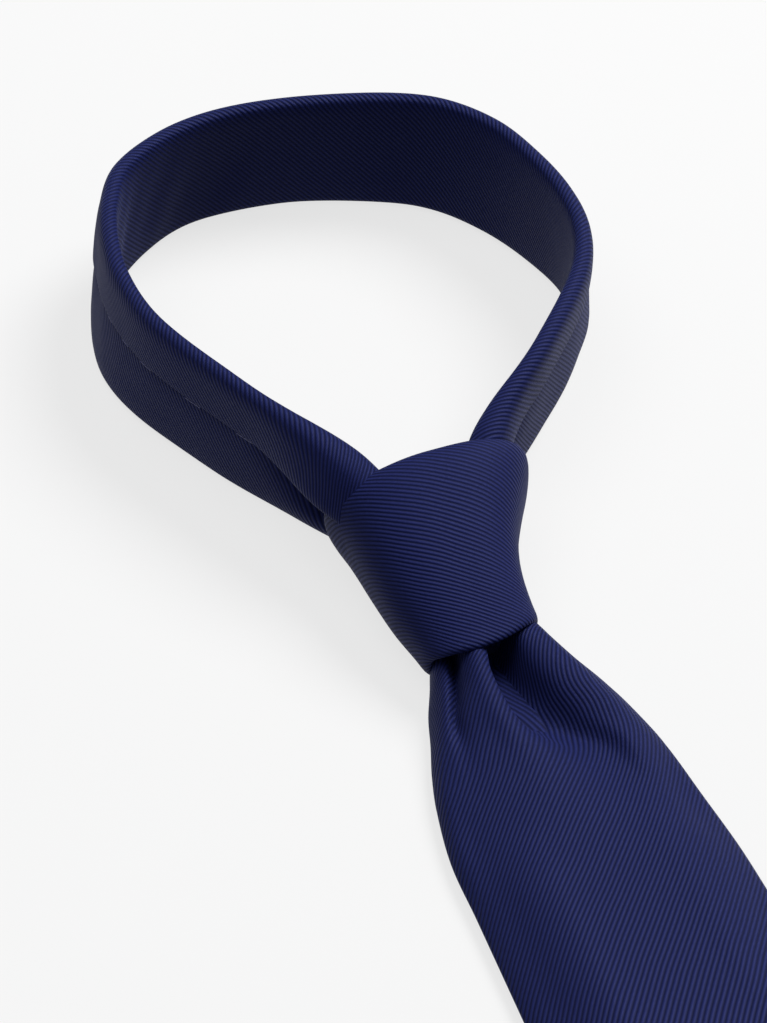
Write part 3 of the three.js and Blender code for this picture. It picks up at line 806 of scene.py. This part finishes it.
blade_rows = []
blade_places = rows_down([
    (-BLADE_LENGTH + 0.5, 1.0), (-BLADE_LENGTH + 14, 2.2), (-BLADE_LENGTH + 60, 4), (-90, 1.6), (-45, 0.8),
    (4, 1),
])
for y in blade_places:
    gap = flap_gap(BLADE_LENGTH + y, BLADE_CORNER, BLADE_SEAM_END)
    outline = folded_section(blade_front(y), blade_back(y), gap, BLADE_TURNED)
    blade_rows.append([at(x, y, z) for x, z in smooth_line(outline, FACE_STEPS)])
BLADE_MIDDLE = (len(FLAP_SHARES) + FLAT_SHARES.index(0)) * FACE_STEPS
# How far the blade's middle was drawn along, by y, where it was pulled through the knot.
BLADE_DRAWN = [
    (-100, 0), (-90, 0.8), (-80, 2.4), (-66, 5.4), (-50, 9.4), (-30, 14.6), (0, 20),
]


def blade_askew(row, across):
    """Pulling the blade through the knot drew its middle and left further than its right edge."""
    return drawn(BLADE_DRAWN, blade_places[row]) * (1 - 0.45 * ease((across - 2) / 30))


blade_silk = cloth(
    "blade_silk", blade_rows, SILK_LAYER, BLADE_RIBS, navy_silk, BLADE_MIDDLE, blade_askew, 0.96,
)
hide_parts("blade_shell")
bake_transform(blade_silk)


# ---- Interlining and lining of the blade ---------------------------------------------------------
# A strip of cream wool laid loose inside the folded blade, cut to its point, and a smooth navy lining
# (tipping) that backs the point and shows between the flaps.

INSIDE_MARGIN = 3
LINING_LAYER = 0.3
LINING_LIFT = 0.62


def inner_layer(name, places, half_at, back_at, steps, lift, finish, thick, outwards):
    """A flat layer inside a folded end, half_at(y) to each side and lifted above its back."""
    rows = []
    for y in places:
        half, back = half_at(y), back_at(y)
        shares = [-1 + 2 * k / steps for k in range(steps + 1)]
        if outwards:
            shares.reverse()
        rows.append([at(s * half, y, back(s * half) + lift) for s in shares])
    return cloth(name, rows, thick, 0, finish, steps // 2)


def wool_half(y):
    return max(blade_half(y) - INSIDE_MARGIN, 0.4)


wool_places = rows_down([(-BLADE_LENGTH + 7, 3), (-BLADE_LENGTH + 60, 6), (-52, 4)])
blade_wool = inner_layer(
    "blade_interlining_wool", wool_places, wool_half, blade_back, 16, 2.4, cream_wool, WOOL_LAYER, False,
)
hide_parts("blade_interlining")
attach(blade_wool, "blade")

navy_lining = woven_cloth("navy lining", (0.018, 0.020, 0.075), 2600)
tipping_places = rows_down([(-BLADE_LENGTH + 5.5, 2), (-BLADE_LENGTH + 40, 3), (-BLADE_LENGTH + 130, 3)])
blade_lining = inner_layer(
    "blade_tipping_lining", tipping_places, wool_half, blade_back, 16, LINING_LIFT, navy_lining,
    LINING_LAYER, True,
)
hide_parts("blade_tipping")
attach(blade_lining, "blade")


# ---- Slip stitches and bar tack of the blade -----------------------------------------------------
# The same silk thread up the centre back, beside the folded edge, and a bar of eight strands sewn across
# the place where the seam opens towards the point, which stops it from tearing further.

SEAM_X = -SEAM_LAP - 0.35
TACK_THREAD = 0.34


def seam_stitches(name, node, places, back_at):
    spans = []
    for y in places:
        z = back_at(y)(SEAM_X)
        spans.append((at(SEAM_X - 0.15, y, z + 0.35), at(SEAM_X + 0.25, y + 2.6, z + 0.2)))
    seam = stitches(name, spans, THREAD, navy_thread)
    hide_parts(node)
    return seam


blade_seam_places = rows_down([(-BLADE_LENGTH + BLADE_SEAM_END + 6, 9), (-62, 9)])
blade_stitch = seam_stitches(
    "blade_slip_stitch_thread", "blade_slip_stitch", blade_seam_places, blade_back,
)
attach(blade_stitch, "blade")


def bar_tack(name, middle_y, back, half, body, node):
    """Eight strands laid side by side across the opening of the seam, bound down by two crossing ones."""
    spans = []
    for k in range(8):
        y = middle_y - 1.15 + 0.33 * k
        spans.append((at(-half, y, back(-half) - 0.06), at(half, y, back(half) - 0.06)))
    for x in (-0.8, 0.8):
        spans.append((at(x, middle_y - 1.4, back(x) - 0.1), at(x, middle_y + 1.4, back(x) - 0.1)))
    tack = stitches(name, spans, TACK_THREAD, navy_thread)
    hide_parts(node)
    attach(tack, body)


def middle_of(node):
    low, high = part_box(node)
    return ((low.y + high.y) / 2 - MOUTH.y) / MM


tack_y = middle_of("blade_bar_tack")
bar_tack("blade_bar_tack_thread", tack_y, blade_back(tack_y), 3.2, "blade", "blade_bar_tack")


# ---- Keeper loop ---------------------------------------------------------------------------------
# A narrow strip of the same silk, folded in four. Its two ends are sewn into the back of the blade, and it
# hangs clear between them, so the tail slides through it.

KEEPER_WIDTH = (keeper_high.y - keeper_low.y) / MM
KEEPER_HALF = (keeper_high.x - keeper_low.x) / MM / 2
KEEPER_THICK = 0.8
keeper_back = blade_back(KEEPER_MIDDLE)
side = KEEPER_HALF - 7.2
# Half of the way round it, from the sewn end down to the middle of its lower run: x and height.
keeper_way = [
    (KEEPER_HALF - 0.6, keeper_back(KEEPER_HALF) - 0.45), (side + 2.2, keeper_back(side + 2) - 0.5),
    (side + 0.4, 2.9), (side - 0.6, 1.2), (side - 3, 0.5), (side - 8, 0.45),
]
keeper_points = [(-x, z) for x, z in keeper_way] + [(x, z) for x, z in keeper_way[::-1]]
keeper_line = [at(x, KEEPER_MIDDLE, z) for x, z in smooth_line(keeper_points, 6)]
keeper_sizes = [(KEEPER_WIDTH, KEEPER_THICK)] * len(keeper_line)
keeper = strap("keeper_loop_silk", keeper_line, Vector((0, 1, 0)), keeper_sizes, navy_silk, BLADE_RIBS)
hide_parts("keeper_loop")
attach(keeper, "blade")


# ---- Tail ----------------------------------------------------------------------------------------
# The narrow end, made like the blade, lying straight under it and through the keeper loop. Its top run
# stays by the knot, and the rest feeds up through the knot when the knot is loosened.

tail_low, tail_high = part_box("tail_shell")
TAIL_LENGTH = (MOUTH.y - tail_low.y) / MM
TAIL_CORNER = (tail_high.x - tail_low.x) / MM / 2
TAIL_SPLIT = (tail_high.y - MOUTH.y) / MM
TAIL_THICK = 3.2
TAIL_TAPER = 0.015
TAIL_TURNED = 6
TAIL_SEAM_END = 62
TAIL_SHARES = [-1, -0.92, -0.75, -0.5, -0.25, 0, 0.25, 0.5, 0.75, 0.92, 1]


def tail_half(y, side):
    """Half the width of the tail on one side: a little wider on the left where it leaves the knot."""
    s = TAIL_LENGTH + y
    if s < TAIL_CORNER:
        return s
    full = TAIL_CORNER - TAIL_TAPER * (s - TAIL_CORNER)
    squeezed = 13.6 if side < 0 else 12.0
    inside = 3.2 * ease((y + 3) / 5)
    return mix(full, squeezed, ease((y + 70) / 66)) - inside


def tail_thick(y):
    return thinned(TAIL_THICK - 0.8 * ease((y + 70) / 30), TAIL_LENGTH + y)


def tail_back(y):
    """The height of the tail's back at x, as a function: up on the keeper, and lower down by the knot."""
    rest = 1.15 - 0.7 * ease((y + 70) / 30)

    def height(x):
        return rest - 0.5 * ease((abs(x) - 12) / 12) * (rest > 0.6)

    return height


def tail_front(y):
    back, thick = tail_back(y), tail_thick(y)
    front = []
    for share in TAIL_SHARES:
        x = share * tail_half(y, share)
        front.append((x, back(x) + thick - edge_drop(share, thick)))
    return front


def tail_cloth(name, marks):
    rows = []
    for y in rows_down(marks):
        gap = flap_gap(TAIL_LENGTH + y, TAIL_CORNER, TAIL_SEAM_END)
        outline = folded_section(tail_front(y), tail_back(y), gap, TAIL_TURNED)
        rows.append([at(x, y, z) for x, z in smooth_line(outline, FACE_STEPS)])
    middle = (len(FLAP_SHARES) + TAIL_SHARES.index(0)) * FACE_STEPS
    shell = cloth(name, rows, SILK_LAYER, BLADE_RIBS, navy_silk, middle)
    return shell


tail_top = tail_cloth("tail_top_run_silk", [(TAIL_SPLIT + 0.1, 2), (4, 1)])
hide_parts("tail_top_run")
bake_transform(tail_top)

tail_marks = [
    (-TAIL_LENGTH + 0.5, 1), (-TAIL_LENGTH + 14, 2.2), (-TAIL_LENGTH + 60, 4), (TAIL_SPLIT - 0.1, 1),
]
tail_silk = tail_cloth("tail_silk", tail_marks)
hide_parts("tail_shell")
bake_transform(tail_silk)


# ---- Interlining, lining and stitches of the tail ------------------------------------------------
# The same pieces as in the blade, smaller: a strip of cream wool, a navy lining behind the point, the slip
# stitches of the centre back, and a bar tack where its seam opens.


def tail_inside(y):
    return max(min(tail_half(y, -1), tail_half(y, 1)) - INSIDE_MARGIN, 0.4)


tail_wool_places = rows_down([(-TAIL_LENGTH + 7, 3), (-TAIL_LENGTH + 50, 6), (TAIL_SPLIT - 30, 1)])
tail_wool = inner_layer(
    "tail_interlining_wool", tail_wool_places, tail_inside, tail_back, 12, 2.3, cream_wool,
    WOOL_LAYER, False,
)
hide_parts("tail_interlining")
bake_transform(tail_wool)

tail_lining_places = rows_down([(-TAIL_LENGTH + 5.5, 2), (-TAIL_LENGTH + 78, 1)])
tail_lining = inner_layer(
    "tail_tipping_lining", tail_lining_places, tail_inside, tail_back, 12, LINING_LIFT, navy_lining,
    LINING_LAYER, True,
)
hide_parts("tail_tipping")
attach(tail_lining, "tail")

tail_seam_places = rows_down([(-TAIL_LENGTH + TAIL_SEAM_END + 6, 9), (TAIL_SPLIT - 8, 9)])
tail_stitch = seam_stitches("tail_slip_stitch_thread", "tail_slip_stitch", tail_seam_places, tail_back)
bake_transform(tail_stitch)

tail_tack_y = middle_of("tail_bar_tack")
bar_tack("tail_bar_tack_thread", tail_tack_y, tail_back(tail_tack_y), 3.0, "tail", "tail_bar_tack")


# ---- Studio --------------------------------------------------------------------------------------
# A plain pale table that glows softly so that it stays even, a strong soft light from the right, a weaker
# one from behind on the left, a dim room, and the camera.

TABLE_SIZE = 6
TABLE_DROP = -0.00005
TABLE_GREY = (0.09, 0.09, 0.09, 1)
TABLE_GLOW = 0.73
ROOM_GLOW = 0.36
bpy.context.scene.view_settings.view_transform = "Standard"
bpy.context.scene.view_settings.look = "None"
floor_mesh = bmesh.new()
bmesh.ops.create_grid(floor_mesh, x_segments=1, y_segments=1, size=TABLE_SIZE)
floor_data = bpy.data.meshes.new("table")
floor_mesh.to_mesh(floor_data)
floor_mesh.free()
table = bpy.data.objects.new("table", floor_data)
bpy.context.collection.objects.link(table)
table.location.z = TABLE_DROP
pale = bpy.data.materials.new("pale table")
pale.use_nodes = True
pale_shader = pale.node_tree.nodes["Principled BSDF"]
pale_shader.inputs["Base Color"].default_value = TABLE_GREY
pale_shader.inputs["Roughness"].default_value = 0.9
pale_shader.inputs["Specular IOR Level"].default_value = 0.0
pale_shader.inputs["Emission Color"].default_value = (1, 1, 1, 1)
pale_shader.inputs["Emission Strength"].default_value = TABLE_GLOW
table.data.materials.append(pale)
table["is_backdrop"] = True

world = bpy.data.worlds.new("soft room")
world.use_nodes = True
world.node_tree.nodes["Background"].inputs["Color"].default_value = (0.96, 0.97, 1.0, 1)
world.node_tree.nodes["Background"].inputs["Strength"].default_value = ROOM_GLOW
bpy.context.scene.world = world

VIEW_TARGET = at(-3.6, 55, 0)
VIEW_AZIMUTH, VIEW_ELEVATION, VIEW_DISTANCE = -20, 42, 0.900
VIEW_LENS = 145.7


def towards(azimuth, elevation):
    """The way from the middle of the view to a place in the room, by degrees round it and degrees up."""
    a, e = math.radians(azimuth), math.radians(elevation)
    return Vector((math.sin(a) * math.cos(e), -math.cos(a) * math.cos(e), math.sin(e)))


def aim(obj, azimuth, elevation, distance):
    """Puts a light or the camera in its place and turns it to the middle of the view."""
    direction = towards(azimuth, elevation)
    obj.location = VIEW_TARGET + direction * distance
    obj.rotation_mode = "QUATERNION"
    obj.rotation_quaternion = (-direction).to_track_quat("-Z", "Y")
    bpy.context.collection.objects.link(obj)


def softbox(name, azimuth, elevation, distance, size, power):
    light = bpy.data.lights.new(name, "AREA")
    light.shape = "DISK"
    light.size = size
    light.energy = power
    aim(bpy.data.objects.new(name, light), azimuth, elevation, distance)


softbox("key softbox", 112, 50, 1.6, 0.9, 54)
softbox("fill softbox", 225, 70, 1.6, 1.3, 15)

camera = bpy.data.objects.new("camera", bpy.data.cameras.new("camera"))
camera.data.lens = VIEW_LENS
camera.data.sensor_width = 36
camera.data.clip_start = 0.01
aim(camera, VIEW_AZIMUTH, VIEW_ELEVATION, VIEW_DISTANCE)
bpy.context.scene.camera = camera

sizes = {
    "cad": [list(corner) for corner in cad_box],
    "visual": [list(corner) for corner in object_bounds()],
}
